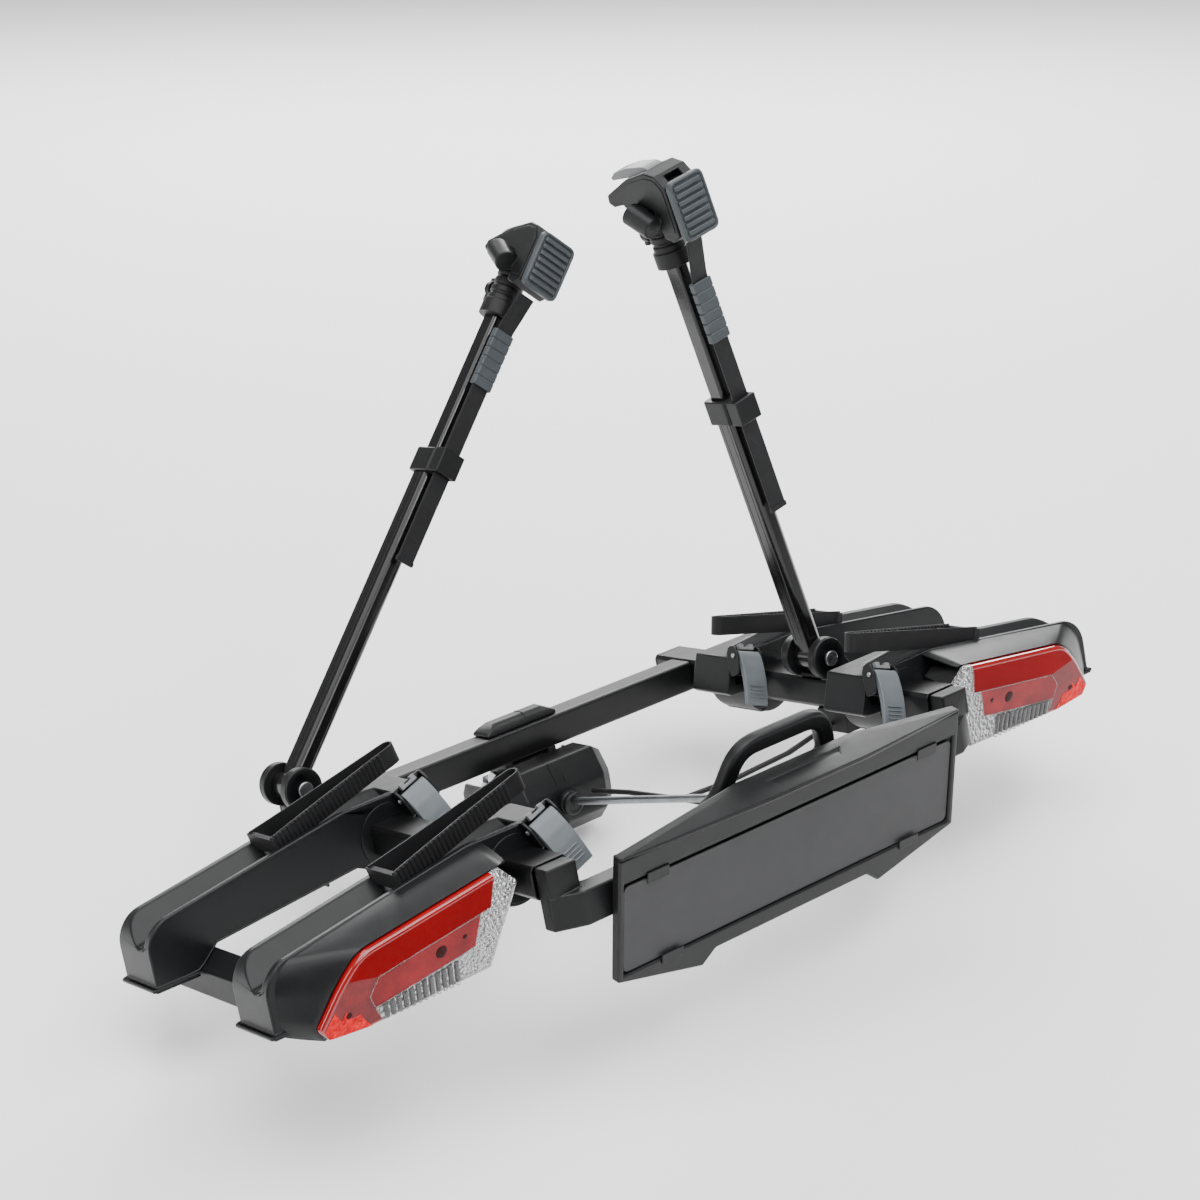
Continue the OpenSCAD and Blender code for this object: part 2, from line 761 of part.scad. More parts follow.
coupler_body();
hinge_pins();
clamp_jaw();
coupling_cover();
hinge_brackets();
beam_cap();
front_beam();
side_tubes();
tube_caps();
rear_beam();
frame_fasteners();
pivot_bushes();
plate_frame();
plate_hood();
number_plate();
plate_clips();
wiring_harness();
arm_brackets();
release_rod();
release_handle();
tray_front(-1);  // tray_front_left
tray_rear(-1);  // tray_rear_left
tip_bar(-1);  // tip_bar_left
lamp_housing(-1);  // lamp_housing_left
lamp_red(-1);  // lamp_red_left
lamp_clear(-1);  // lamp_clear_left
wheel_straps(-1);  // wheel_straps_left
buckle_frames(-1);  // buckle_frames_left
ratchet(-1, front_tray_y);  // ratchet_front_left
ratchet(-1, rear_tray_y);  // ratchet_rear_left
tray_front(1);  // tray_front_right
tray_rear(1);  // tray_rear_right
tip_bar(1);  // tip_bar_right
lamp_housing(1);  // lamp_housing_right
lamp_red(1);  // lamp_red_right
lamp_clear(1);  // lamp_clear_right
wheel_straps(1);  // wheel_straps_right
buckle_frames(1);  // buckle_frames_right
ratchet(1, front_tray_y);  // ratchet_front_right
ratchet(1, rear_tray_y);  // ratchet_rear_right
left_arm() arm_tube(left_keeper);  // arm_tube_left
left_arm() strap_keeper(left_keeper);  // strap_keeper_left
left_arm() arm_inner(300, arm_left_reach + 50);  // arm_inner_left
left_arm() translate([0, 0, arm_left_reach]) arm_grip();  // arm_grip_left
left_arm() translate([0, 0, arm_left_reach]) arm_knob();  // arm_knob_left
left_arm() translate([0, 0, arm_left_reach]) head_shell();  // head_shell_left
left_arm() translate([0, 0, arm_left_reach]) head_pad();  // head_pad_left
left_arm() translate([0, 0, arm_left_reach]) head_lever();  // head_lever_left
left_arm() translate([0, 0, arm_left_reach]) head_lock();  // head_lock_left
left_arm() build_strap(arm_left_reach, left_keeper);  // frame_strap_left
right_arm() arm_tube(right_keeper);  // arm_tube_right
right_arm() strap_keeper(right_keeper);  // strap_keeper_right
right_arm() arm_inner(190, arm_right_reach + 50);  // arm_inner_right
right_arm() translate([0, 0, arm_right_reach]) arm_grip();  // arm_grip_right
right_arm() translate([0, 0, arm_right_reach]) arm_knob();  // arm_knob_right
right_arm() translate([0, 0, arm_right_reach]) head_shell();  // head_shell_right
right_arm() translate([0, 0, arm_right_reach]) head_pad();  // head_pad_right
right_arm() translate([0, 0, arm_right_reach]) head_lever();  // head_lever_right
right_arm() translate([0, 0, arm_right_reach]) head_lock();  // head_lock_right
right_arm() build_strap(arm_right_reach, right_keeper);  // frame_strap_right
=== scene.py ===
import json
import math
import bpy
import bmesh
from mathutils import Matrix, Vector

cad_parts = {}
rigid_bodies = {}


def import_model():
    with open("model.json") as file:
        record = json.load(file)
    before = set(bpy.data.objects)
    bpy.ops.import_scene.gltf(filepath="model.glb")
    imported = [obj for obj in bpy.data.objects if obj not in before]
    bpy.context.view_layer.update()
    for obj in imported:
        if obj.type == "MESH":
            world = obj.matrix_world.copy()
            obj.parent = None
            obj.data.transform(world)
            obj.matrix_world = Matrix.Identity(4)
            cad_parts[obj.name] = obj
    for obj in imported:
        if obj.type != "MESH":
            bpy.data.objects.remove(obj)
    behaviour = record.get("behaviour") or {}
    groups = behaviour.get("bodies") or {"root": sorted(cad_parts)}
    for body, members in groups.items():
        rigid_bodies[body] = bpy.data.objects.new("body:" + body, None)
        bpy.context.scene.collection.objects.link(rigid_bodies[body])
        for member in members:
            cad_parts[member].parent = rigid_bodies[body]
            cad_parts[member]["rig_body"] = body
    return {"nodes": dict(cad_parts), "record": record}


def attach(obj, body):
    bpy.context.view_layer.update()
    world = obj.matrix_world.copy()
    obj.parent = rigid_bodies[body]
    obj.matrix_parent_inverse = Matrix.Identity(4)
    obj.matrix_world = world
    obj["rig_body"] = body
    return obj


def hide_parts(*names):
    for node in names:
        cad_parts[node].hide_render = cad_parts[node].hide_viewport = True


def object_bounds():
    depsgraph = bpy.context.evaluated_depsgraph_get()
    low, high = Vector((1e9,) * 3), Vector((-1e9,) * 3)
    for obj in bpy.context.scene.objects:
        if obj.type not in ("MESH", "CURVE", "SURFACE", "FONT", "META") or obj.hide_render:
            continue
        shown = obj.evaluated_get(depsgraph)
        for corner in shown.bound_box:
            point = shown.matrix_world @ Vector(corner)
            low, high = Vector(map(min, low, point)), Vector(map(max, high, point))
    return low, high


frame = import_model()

cad_box = [list(v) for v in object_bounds()]
nodes = frame["nodes"]
MM = Matrix.Scale(0.001, 4)


def shift(x, y, z):
    return Matrix.Translation((x * 0.001, y * 0.001, z * 0.001))


def turn(degrees, axis):
    return Matrix.Rotation(math.radians(degrees), 4, axis)


# The same coordinate frames as part.scad, taking millimetres
PITCH = 16
DECK = shift(0, 0, 62) @ turn(-PITCH, "X") @ shift(0, -500, -36)
UPRIGHT = DECK @ turn(PITCH, "X")
FLIP = {1: Matrix.Identity(4), -1: Matrix.Scale(-1, 4, (1, 0, 0))}
NAME = {1: "right", -1: "left"}
WING = {s: DECK @ shift(s * 311, 0, 79) @ FLIP[s] for s in (1, -1)}
LAMP = {s: UPRIGHT @ FLIP[s] for s in (1, -1)}
ARM = {-1: DECK @ shift(-338, 512, 127) @ turn(41.5, "Y"), 1: DECK @ shift(294, 236, 127) @ turn(-12, "Y")}
REACH = {-1: 663, 1: 556}
TRAY_Y = {"front": 350, "rear": 95}
SLOPE = math.tan(math.radians(8.8))


def floor_z(u):
    return -22 + (336 - u) * SLOPE


# ---------- materials ----------

def material(name, color, rough, grain=0, grain_depth=0, mottle=0.0, mottle_scale=18, smear=0.06,
             cells=0, cell_depth=0, lines=0, line_depth=0, line_axis="Z", **sockets):
    m = bpy.data.materials.new(name)
    m.use_nodes = True
    nt = m.node_tree
    sh = nt.nodes["Principled BSDF"]
    for key, value in sockets.items():
        sh.inputs[key.replace("_", " ")].default_value = value
    where = nt.nodes.new("ShaderNodeTexCoord")

    def noise(scale, detail):
        n = nt.nodes.new("ShaderNodeTexNoise")
        n.inputs["Scale"].default_value = scale
        n.inputs["Detail"].default_value = detail
        nt.links.new(where.outputs["Object"], n.inputs["Vector"])
        return n.outputs["Fac"]

    def spread(source, low, high):
        r = nt.nodes.new("ShaderNodeMapRange")
        r.inputs["From Min"].default_value = 0.3
        r.inputs["From Max"].default_value = 0.7
        r.inputs["To Min"].default_value = low
        r.inputs["To Max"].default_value = high
        nt.links.new(source, r.inputs["Value"])
        return r.outputs["Result"]

    nt.links.new(spread(noise(55, 4), max(rough - smear, 0.01), rough + smear), sh.inputs["Roughness"])
    if mottle:
        mix = nt.nodes.new("ShaderNodeMix")
        mix.data_type = "RGBA"
        mix.inputs["A"].default_value = [c * (1 - mottle) for c in color] + [1]
        mix.inputs["B"].default_value = [min(c * (1 + mottle), 1) for c in color] + [1]
        nt.links.new(spread(noise(mottle_scale, 5), 0, 1), mix.inputs["Factor"])
        nt.links.new(mix.outputs["Result"], sh.inputs["Base Color"])
    else:
        sh.inputs["Base Color"].default_value = list(color) + [1]
    reliefs = []
    if grain:
        reliefs.append((noise(grain, 3), grain_depth))
    if cells:
        v = nt.nodes.new("ShaderNodeTexVoronoi")
        v.inputs["Scale"].default_value = cells
        nt.links.new(where.outputs["Object"], v.inputs["Vector"])
        reliefs.append((v.outputs["Distance"], cell_depth))
    if lines:
        w = nt.nodes.new("ShaderNodeTexWave")
        w.bands_direction = line_axis
        w.inputs["Scale"].default_value = lines
        nt.links.new(where.outputs["Object"], w.inputs["Vector"])
        reliefs.append((w.outputs["Fac"], line_depth))
    normal = None
    for height, depth in reliefs:
        bump = nt.nodes.new("ShaderNodeBump")
        bump.inputs["Strength"].default_value = 1.0
        bump.inputs["Distance"].default_value = depth
        nt.links.new(height, bump.inputs["Height"])
        if normal:
            nt.links.new(normal, bump.inputs["Normal"])
        normal = bump.outputs["Normal"]
    if normal:
        nt.links.new(normal, sh.inputs["Normal"])
    return m


BLACK = {"Specular_IOR_Level": 0.3, "smear": 0.03}
MAT = {
    "coupler_steel": material("coupler_steel", (0.022, 0.023, 0.024), 0.42, 420, 0.0002, 0.2, Metallic=0.3),
    "zinc_steel": material("zinc_steel", (0.48, 0.49, 0.51), 0.32, 300, 0.0001, 0.12, 60, Metallic=1.0),
    "frame_paint": material("frame_paint", (0.0035, 0.0035, 0.004), 0.34, 520, 0.0001, 0.2, Coat_Weight=0.2,
                            Coat_Roughness=0.3, **BLACK),
    "arm_gloss": material("arm_gloss", (0.004, 0.004, 0.0045), 0.2, 240, 0.00003, 0.12, smear=0.02,
                          Coat_Weight=0.35, Coat_Roughness=0.1, Specular_IOR_Level=0.4),
    "rod_steel": material("rod_steel", (0.26, 0.27, 0.28), 0.34, 500, 0.00005, 0.12, 80, Metallic=1.0),
    "plate_panel": material("plate_panel", (0.036, 0.036, 0.038), 0.5, 900, 0.00012, 0.05, 8, **BLACK),
    "lamp_red": material("lamp_red", (0.20, 0.0, 0.002), 0.12, mottle=0.15, mottle_scale=9, smear=0.02,
                         lines=110, line_depth=0.00006, line_axis="X", Specular_IOR_Level=0.04),
    "lamp_edge": material("lamp_edge", (0.26, 0.0, 0.001), 0.1, mottle=0.1, smear=0.02, Coat_Weight=1.0,
                          Coat_Roughness=0.05, Specular_IOR_Level=0.5),
    "lamp_end": material("lamp_end", (0.15, 0.004, 0.006), 0.2, mottle=0.35, mottle_scale=60, smear=0.04,
                         lines=150, line_depth=0.0001, line_axis="X", Specular_IOR_Level=0.28),
    "lamp_glow": material("lamp_glow", (0.72, 0.002, 0.006), 0.2, mottle=0.3, mottle_scale=120, smear=0.04,
                          cells=220, cell_depth=0.003, Specular_IOR_Level=0.1),
    "lamp_clear": material("lamp_clear", (0.96, 0.96, 0.97), 0.05, smear=0.02, Transmission_Weight=0.92,
                           IOR=1.45, Specular_IOR_Level=0.4),
    "lamp_window": material("lamp_window", (0.21, 0.004, 0.007), 0.14, mottle=0.35, mottle_scale=30,
                            smear=0.03, lines=170, line_depth=0.00008, line_axis="DIAGONAL",
                            Specular_IOR_Level=0.22),
    "lamp_bulb": material("lamp_bulb", (0.03, 0.001, 0.002), 0.3, mottle=0.3, mottle_scale=90,
                          Specular_IOR_Level=0.1),
    "lamp_mirror": material("lamp_mirror", (0.97, 0.97, 0.98), 0.16, cells=190, cell_depth=0.011,
                            mottle=0.12, mottle_scale=200, smear=0.05, Metallic=0.9),
    "strap_black": material("strap_black", (0.010, 0.010, 0.011), 0.5, 700, 0.0001, 0.15, 40, **BLACK),
    "strap_webbing": material("strap_webbing", (0.008, 0.008, 0.009), 0.5, 800, 0.0001, 0.15, 40,
                              lines=190, line_depth=0.00015, **BLACK),
    "ratchet_grey": material("ratchet_grey", (0.115, 0.130, 0.140), 0.42, 900, 0.0001, 0.06, 40, smear=0.03),
    "pad_slate": material("pad_slate", (0.042, 0.050, 0.056), 0.5, 900, 0.00015, 0.1, 30, smear=0.03),
    "lever_grey": material("lever_grey", (0.17, 0.173, 0.18), 0.42, 900, 0.0001, 0.05, 30, smear=0.03),
    "lock_chrome": material("lock_chrome", (0.9, 0.9, 0.91), 0.12, 200, 0.00003, 0.05, 60, Metallic=1.0),
    "cable_black": material("cable_black", (0.007, 0.007, 0.007), 0.5, 700, 0.0001, 0.1, **BLACK),
    "grip_rubber": material("grip_rubber", (0.009, 0.009, 0.010), 0.48, 800, 0.00014, 0.15, 30, **BLACK),
    "tray_plastic": material("tray_plastic", (0.006, 0.0066, 0.0072), 0.34, 1100, 0.0001, 0.1, 12, **BLACK),
    "moulded_black": material("moulded_black", (0.0065, 0.0068, 0.0074), 0.4, 1000, 0.00013, 0.1, 14, **BLACK),
}
SLOTS = {s["node"]: s["material_slot"] for s in frame["record"]["subparts"]}


# ---------- mesh tools ----------

class Part:
    """A mesh drawn in millimetres in one of the frames above."""

    def __init__(self, matrix):
        self.bm = bmesh.new()
        self.matrix = matrix @ MM

    def add(self, points, faces, local=None, mat=0):
        m = self.matrix @ local if local else self.matrix
        made = [self.bm.verts.new(m @ Vector(p)) for p in points]
        for f in faces:
            face = self.bm.faces.new([made[i] for i in f])
            face.material_index = mat
        return made

    def rings(self, rings, closed=False, caps=True, mat=0, local=None):
        n = len(rings[0])
        points = [p for r in rings for p in r]
        faces = []
        count = len(rings)
        for i in range(count if closed else count - 1):
            a, b = i * n, (i + 1) % count * n
            for j in range(n):
                k = (j + 1) % n
                faces.append((a + j, a + k, b + k, b + j))
        if caps and not closed:
            faces.append(tuple(range(n))[::-1])
            faces.append(tuple((count - 1) * n + j for j in range(n)))
        return self.add(points, faces, local, mat)

    def box(self, low, high, local=None, mat=0):
        x, y, z = zip(low, high)
        ring = [(x[0], y[0]), (x[1], y[0]), (x[1], y[1]), (x[0], y[1])]
        self.rings([[(a, b, h) for a, b in ring] for h in z], local=local, mat=mat)

    def prism(self, outline, low, high, plane="XZ", local=None, mat=0):
        put = {"XZ": lambda a, b, t: (a, t, b), "YZ": lambda a, b, t: (t, a, b),
               "XY": lambda a, b, t: (a, b, t)}
        self.rings([[put[plane](a, b, t) for a, b in outline] for t in (low, high)], local=local, mat=mat)

    def sweep(self, path, section, closed=False, up=Vector((0, 0, 1)), local=None, mat=0):
        path = [Vector(p) for p in path]
        count = len(path)
        rings = []
        for i, p in enumerate(path):
            if closed:
                along = path[(i + 1) % count] - path[i - 1]
            else:
                along = path[min(i + 1, count - 1)] - path[max(i - 1, 0)]
            along.normalize()
            side = along.cross(up).normalized()
            over = side.cross(along)
            shape = section(i) if callable(section) else section
            rings.append([tuple(p + side * a + over * b) for a, b in shape])
        self.rings(rings, closed=closed, local=local, mat=mat)

    def lathe(self, profile, local=None, steps=40, mat=0):
        """profile of (radius, height) pairs around Z."""
        rings = []
        for r, h in profile:
            rings.append([
                (r * math.cos(t * math.tau / steps), r * math.sin(t * math.tau / steps), h) for t in range(steps)
            ])
        self.rings(rings, local=local, mat=mat)

    def done(self, name, body, materials, hides=(), bevel=0.0, steps=2, sharp=32):
        bmesh.ops.recalc_face_normals(self.bm, faces=self.bm.faces)
        mesh = bpy.data.meshes.new(name)
        self.bm.to_mesh(mesh)
        self.bm.free()
        return finish_mesh(mesh, name, body, materials, hides, bevel, steps, sharp)


def finish_mesh(mesh, name, body, materials, hides, bevel, steps, sharp):
    o = bpy.data.objects.new(name, mesh)
    bpy.context.scene.collection.objects.link(o)
    for m in materials:
        mesh.materials.append(MAT[m])
    if bevel:
        b = o.modifiers.new("bevel", "BEVEL")
        b.width = bevel * 0.001
        b.segments = steps
        b.limit_method = "ANGLE"
        b.angle_limit = math.radians(sharp)
        b.use_clamp_overlap = False
        b.harden_normals = False
    mesh.shade_smooth()
    w = o.modifiers.new("normals", "WEIGHTED_NORMAL")
    w.keep_sharp = True
    mesh.set_sharp_from_angle(angle=math.radians(sharp + 8))
    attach(o, body)
    if hides:
        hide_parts(*hides)
    return o


def circle(r, steps=16, cx=0, cy=0):
    turns = [t * math.tau / steps for t in range(steps)]
    return [(cx + r * math.cos(t), cy + r * math.sin(t)) for t in turns]


def arc(cx, cy, r, start, end, steps):
    out = []
    for i in range(steps + 1):
        a = math.radians(start + (end - start) * i / steps)
        out.append((cx + r * math.cos(a), cy + r * math.sin(a)))
    return out


def rounded(points, radius, steps=4):
    """Closed 2-D outline with each corner cut by a short curve; radius may be a list."""
    out = []
    n = len(points)
    for i, p in enumerate(points):
        r = radius[i] if isinstance(radius, (list, tuple)) else radius
        p = Vector(p)
        a = Vector(points[i - 1]) - p
        b = Vector(points[(i + 1) % n]) - p
        if r <= 0:
            out.append(tuple(p))
            continue
        cut = min(r, a.length * 0.45, b.length * 0.45)
        a, b = p + a.normalized() * cut, p + b.normalized() * cut
        for k in range(steps + 1):
            t = k / steps
            out.append(tuple(a * (1 - t) ** 2 + p * 2 * t * (1 - t) + b * t * t))
    return out


def oblong(w, h, r, steps=4):
    return rounded([(-w / 2, -h / 2), (w / 2, -h / 2), (w / 2, h / 2), (-w / 2, h / 2)], r, steps)


WELD = 0.00002
FLAT = math.radians(0.6)


def clean_copy(node, move=None):
    """A copy of a CAD node's mesh, with its flat triangles joined into faces."""
    mesh = nodes[node].data.copy()
    if move is not None:
        mesh.transform(move)
    bm = bmesh.new()
    bm.from_mesh(mesh)
    bmesh.ops.remove_doubles(bm, verts=bm.verts, dist=WELD)
    bmesh.ops.dissolve_limit(bm, angle_limit=FLAT, verts=bm.verts, edges=bm.edges)
    bm.to_mesh(mesh)
    bm.free()
    mesh.materials.clear()
    return mesh


def refine(node, bevel=1.0, steps=2, sharp=32):
    """A CAD node with its edges rounded, in its own material."""
    mesh = clean_copy(node)
    body = nodes[node]["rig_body"]
    slot = SLOTS[node]
    return finish_mesh(mesh, node + "_fine", body, [slot], [node], bevel, steps, sharp)


# ---------- camera, light and floor ----------

scene = bpy.context.scene
cam = bpy.data.objects.new("camera", bpy.data.cameras.new("camera"))
scene.collection.objects.link(cam)
cam.data.lens = 77.4
cam.data.sensor_width = 36
cam.location = (-1.8166, -2.3179, 1.7446)
cam.rotation_euler = Vector((0.5777, 0.6885, -0.4384)).to_track_quat("-Z", "Y").to_euler()
cam.data.clip_end = 100
scene.camera = cam

low = Vector(cad_box[0])
bpy.ops.mesh.primitive_plane_add(size=60, location=(0, 0, low.z))
floor = bpy.context.object
floor.name = "floor"
white = bpy.data.materials.new("floor_white")
white.use_nodes = True
white.node_tree.nodes["Principled BSDF"].inputs["Base Color"].default_value = (0.97, 0.97, 0.97, 1)
white.node_tree.nodes["Principled BSDF"].inputs["Roughness"].default_value = 0.9
floor.data.materials.append(white)

world = bpy.data.worlds.new("studio")
scene.world = world
world.use_nodes = True
world.node_tree.nodes["Background"].inputs["Color"].default_value = (1, 1, 1, 1)
world.node_tree.nodes["Background"].inputs["Strength"].default_value = 0.26


def area_light(name, at, target, w, h, power):
    data = bpy.data.lights.new(name, "AREA")
    data.shape = "RECTANGLE"
    data.size, data.size_y, data.energy = w, h, power
    o = bpy.data.objects.new(name, data)
    scene.collection.objects.link(o)
    o.location = at
    o.rotation_euler = (Vector(target) - Vector(at)).to_track_quat("-Z", "Y").to_euler()
    return o


area_light("top_soft", (-0.6, 0.4, 4.6), (0, -0.1, 0.2), 4.5, 4.5, 150)
area_light("back_strip", (2.5, 3.1, 1.9), (0.1, -0.1, 0.2), 4.2, 1.5, 210)
area_light("left_fill", (-3.6, 0.8, 1.5), (0, -0.2, 0.3), 0.9, 2.2, 45)
area_light("front_fill", (-0.9, -4.4, 2.6), (0, -0.3, 0.2), 2.2, 1.2, 40)
area_light("edge_strip", (0.9, -1.3, 2.7), (0, -0.1, 0.2), 4.0, 0.45, 55)
sun = bpy.data.objects.new("soft_sun", bpy.data.lights.new("soft_sun", "SUN"))
sun.data.energy = 2.4
sun.data.angle = math.radians(70)
sun.rotation_euler = (math.radians(12), math.radians(-8), 0)
scene.collection.objects.link(sun)

# ---------- CAD nodes with rounded edges ----------

for name in ("coupler_body", "hinge_pins", "clamp_jaw", "hinge_brackets", "side_tubes", "tube_caps",
             "frame_fasteners", "pivot_bushes", "release_rod", "plate_clips", "number_plate"):
    refine(name, 0.7)
for name in ("rear_beam", "plate_frame", "plate_hood", "beam_cap"):
    refine(name, 2.6, 3)
refine("arm_brackets", 1.2, 3)
refine("wiring_harness", 0.8)
refine("front_beam", 2.6, 4)
for s in (1, -1):
    n = NAME[s]
    refine(f"tray_front_{n}", 2.2, 3)
    refine(f"lamp_housing_{n}", 0)
    for name in ("tip_bar", "strap_keeper", "head_shell"):
        refine(f"{name}_{n}", 1.8, 3)
    for name in ("arm_tube", "arm_inner", "arm_grip", "arm_knob"):
        refine(f"{name}_{n}", 0.9, 3)

# ---------- wheel straps ----------

STRAP_U, LEG, TOP, LOOP_R, LEAN = 150, 24.5, 198, 8.5, 76

PITCH = 1.3


def strap_path():
    leg = [(-LEG + (LEG - LOOP_R) * t ** 0.8, 1 + (TOP - 1) * t) for t in [k / 60 for k in range(60)]]
    top = arc(0, TOP, LOOP_R, 180, 0, 16)
    points = leg + top + [(-a, b) for a, b in reversed(leg)]
    out, carry = [Vector(points[0])], 0.0
    for a, b in zip(points, points[1:]):
        a, b = Vector(a), Vector(b)
        length = (b - a).length
        at = PITCH - carry
        while at <= length:
            out.append(a.lerp(b, at / length))
            at += PITCH
        carry = length - (at - PITCH)
    return [(0, q.x, q.y) for q in out]


def strap_section(side):
    def section(i):
        plain = abs(i * PITCH - TOP - LOOP_R) < 26
        tooth = 2.8 if i % 5 in (1, 2, 3) and not plain else 1.1
        shape = [(1.2, -12.3), (1.2, 12.3), (-1.1, 12.3), (-1.1, 11.4), (-tooth, 11.0), (-tooth, -11.0), (-1.1, -11.4),
                 (-1.1, -12.3)]
        return shape if side < 0 else [(-a, b) for a, b in reversed(shape)]
    return section


for s in (1, -1):
    part = Part(WING[s])
    for y in TRAY_Y.values():
        root = Matrix.Translation((STRAP_U, y + 34, floor_z(STRAP_U) + 29)) @ turn(-LEAN, "Y")
        part.sweep(strap_path(), strap_section(s), up=Vector((1, 0, 0)), local=root)
        # moulded base that the band comes out of
        part.prism(rounded([(-30, 0), (30, 0), (26, 7), (-26, 7)], 2), -10, 10, "YZ", local=root)
    part.done(f"toothed_straps_{NAME[s]}", f"wing_{NAME[s]}", ["strap_black"],
              [f"wheel_straps_{NAME[s]}"], 0.25, 1)

# ---------- ratchet buckles ----------


def local(x, y, z):
    return Matrix.Translation((x, y, z))


def buckle(y):
    return local(-40, y - 9, 44) @ turn(20, "Y") @ turn(-24, "X")


for s in (1, -1):
    frames = Part(WING[s])
    for pos, y in TRAY_Y.items():
        b = buckle(y)
        cheek = rounded([(-5, -24), (-8, 2), (-3, 13), (6, 15), (12, 8), (12, -26)], 4)
        for x in (-22.6, 19.4):
            frames.prism(cheek, x, x + 3.2, "YZ", local=b)
        frames.box((-22, 8.2, -24), (22, 11, 9), local=b)
        frames.box((-22, 2, 10.5), (22, 9.5, 14), local=b)
        frames.lathe([(0, -24.4), (3, -24.4), (3, 24.4), (0, 24.4)], local=b @ turn(90, "Y"), steps=20, mat=1)
        for x in (-24.6, 22.6):
            frames.lathe([(0, 0), (2.2, 0), (2.6, 0.5), (2.6, 1.6), (2.2, 2), (0, 2)],
                         local=b @ local(x, 0, 0) @ turn(90, "Y"), steps=24, mat=1)
        # grey pawl that holds the band
        frames.prism(rounded([(-12, -4), (12, -4), (12, 4), (5, 4), (5, 0), (-5, 0), (-5, 4), (-12, 4)], 1.2), -4.5, 1.5,
                     "XZ", local=b @ local(0, 0, 12), mat=2)
        lever = Part(WING[s])
        shape = rounded([(-5.5, 6.5), (-9.4, -2), (-11.2, -18), (-10.8, -36), (-8.2, -54), (-4.2, -69), (-0.6, -68),
                         (-3, -52), (-4.6, -34), (-3.8, -16), (0.8, -4), (1.2, 4)], 3.2, 3)
        lever.prism(shape, -18.3, 18.3, "YZ", local=b)
        for h in (-44, -49, -54, -59):
            depth = -10.0 + (-44 - h) * 0.21
            lever.prism(rounded([(-1.5, 0), (0, -1.0), (1, 0), (0, 1.0)], 0.3), -11.5, 11.5, "YZ",
                        local=b @ local(0, depth, h))
        lever.done(f"lever_{pos}_{NAME[s]}", f"ratchet_{pos}_{NAME[s]}", ["ratchet_grey"],
                   [f"ratchet_{pos}_{NAME[s]}"], 0.7)
    frames.done(f"buckles_{NAME[s]}", f"wing_{NAME[s]}",
                ["moulded_black", "zinc_steel", "lever_grey"], [f"buckle_frames_{NAME[s]}"], 0.6)

# ---------- lamps ----------

LAMP_POINTS = [(345, 70), (368, 93), (380, 91.08), (556, 63), (582, 34), (611, -11), (598, -26), (553, -31),
               (532, -30.38), (428, -27.3), (384, -26)]
LAMP_ROUND = [3, 3, 0, 16, 16, 5, 5, 6, 0, 0, 4]


def inset(ring, d):
    out = []
    n = len(ring)
    for i in range(n):
        a, p, b = Vector(ring[i - 1]), Vector(ring[i]), Vector(ring[(i + 1) % n])
        e, f = (p - a), (b - p)
        if e.length < 1e-6 or f.length < 1e-6:
            out.append(tuple(p))
            continue
        m = (Vector((e.y, -e.x)).normalized() + Vector((f.y, -f.x)).normalized())
        out.append(tuple(p + m.normalized() * d / max(m.length / 2, 0.5)))
    return out


